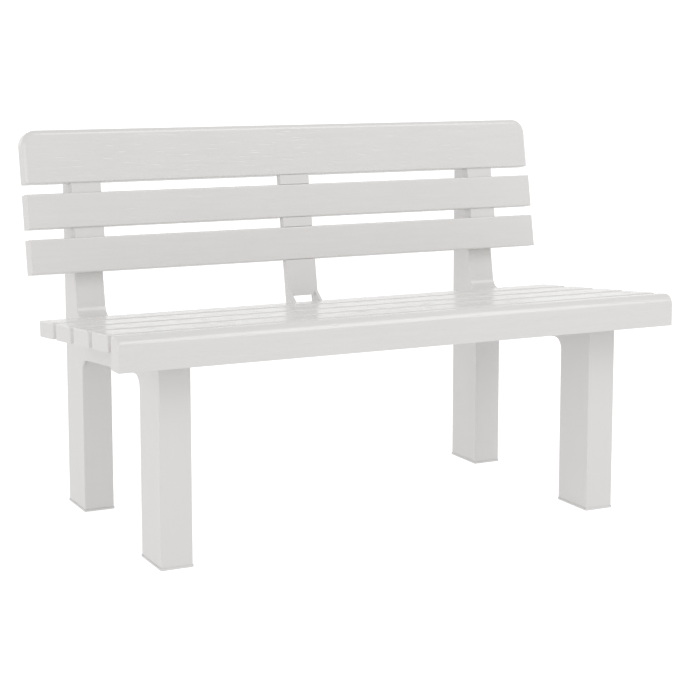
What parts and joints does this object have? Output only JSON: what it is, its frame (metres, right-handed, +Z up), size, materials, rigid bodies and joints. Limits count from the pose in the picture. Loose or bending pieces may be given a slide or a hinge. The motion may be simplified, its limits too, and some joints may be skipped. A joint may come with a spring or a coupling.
{
  "type": "garden bench",
  "caption": "Slatted garden bench for two with a leaning back, arched leg frames and a rounded front board, moulded in white plastic.",
  "frame": {"origin": "on the floor, under the middle of the bench's box", "axes": "+X to the right end seen from the front, +Y to the back, +Z up"},
  "size_m": [1.1, 0.5772, 0.726],
  "materials": {
    "boards": "semi-gloss",
    "feet": "matt",
    "steel": "zinc plated"
  },
  "bodies": {
    "root": {"back_batten_left": "boards", "back_batten_right": "boards", "back_centre_screws": "steel", "back_end_screws": "steel", "back_slat_lower": "boards", "back_slat_middle": "boards", "back_slat_top": "boards", "centre_rail": "boards", "centre_strut": "boards", "cover_screws": "steel", "foot_front_left": "feet", "foot_front_right": "feet", "foot_rear_left": "feet", "foot_rear_right": "feet", "front_board": "boards", "front_board_screws": "steel", "leg_frame_left": "boards", "leg_frame_right": "boards", "seat_screws": "steel", "seat_slat_1": "boards", "seat_slat_2": "boards", "seat_slat_3": "boards", "seat_slat_4": "boards", "strut_bolt": "steel", "strut_nut": "steel", "upright_cover_left": "boards", "upright_cover_right": "boards", "upright_left": "boards", "upright_right": "boards", "upright_screws": "steel"}
  },
  "joints": []
}
